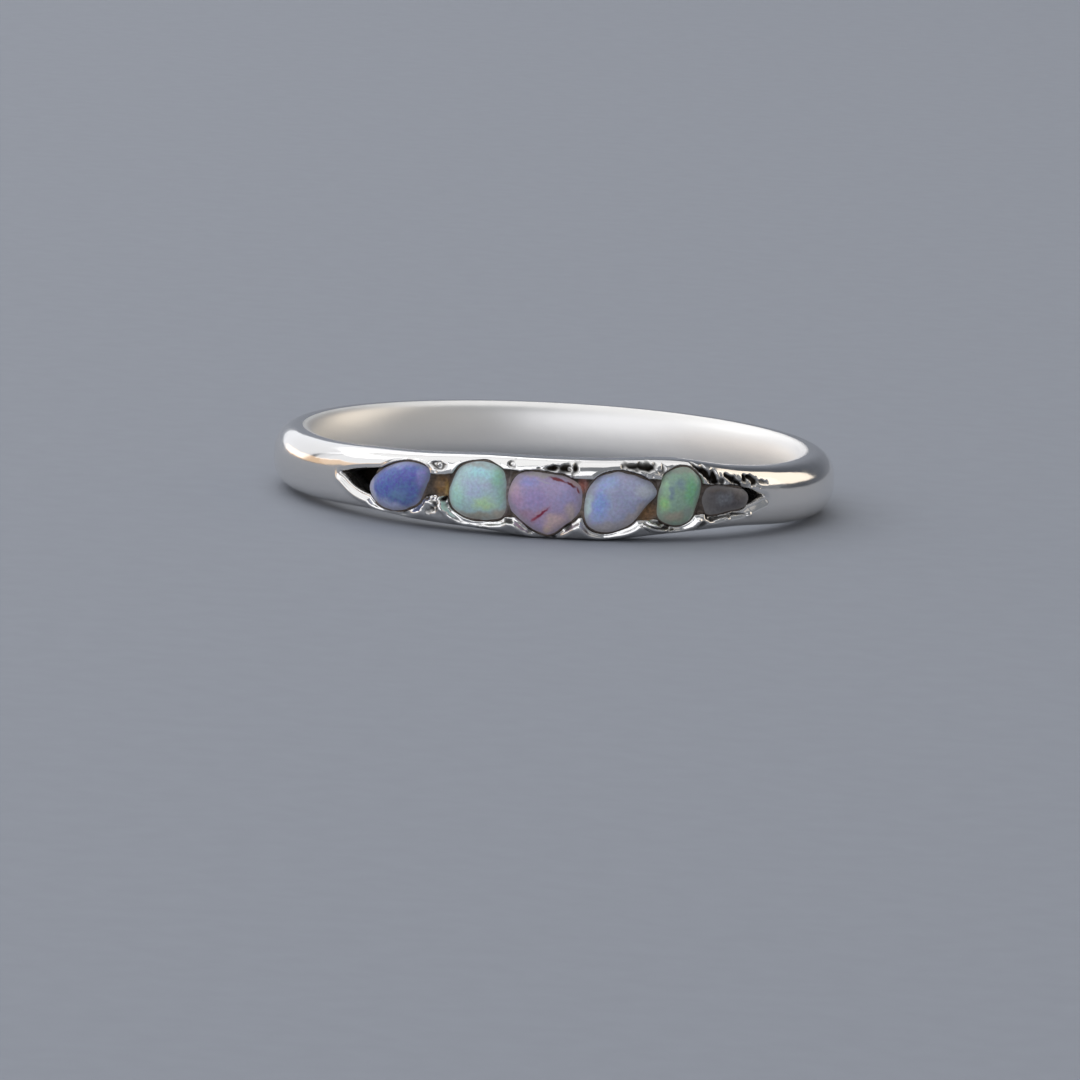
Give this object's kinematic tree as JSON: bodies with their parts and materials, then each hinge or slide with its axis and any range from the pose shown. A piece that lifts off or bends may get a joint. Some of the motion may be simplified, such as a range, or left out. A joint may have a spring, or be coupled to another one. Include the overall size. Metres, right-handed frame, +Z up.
{
  "type": "opal inlay ring",
  "caption": "Slim polished silver finger ring with a boat-shaped channel across its front, filled with a row of small rough opals bedded in brown resin.",
  "frame": {"origin": "on the axis of the finger hole, at the surface that the ring lies on", "axes": "+Z up along the finger hole as the ring lies on its side, -Y towards the opals, +X to the right when the opals are looked at"},
  "size_m": [0.0206, 0.0208, 0.0029],
  "materials": {
    "silver": "hand-polished sterling silver",
    "resin": "cured brown resin",
    "opal_violet": "tumbled opal",
    "opal_mint": "tumbled opal",
    "opal_rose": "tumbled opal",
    "opal_blue": "tumbled opal",
    "opal_green": "tumbled opal",
    "opal_grey": "tumbled opal"
  },
  "bodies": {
    "root": {"band": "silver", "resin_bed": "resin", "opal_1_violet": "opal_violet", "opal_2_mint": "opal_mint", "opal_3_rose": "opal_rose", "opal_4_blue": "opal_blue", "opal_5_green": "opal_green", "opal_6_grey": "opal_grey"}
  },
  "joints": []
}
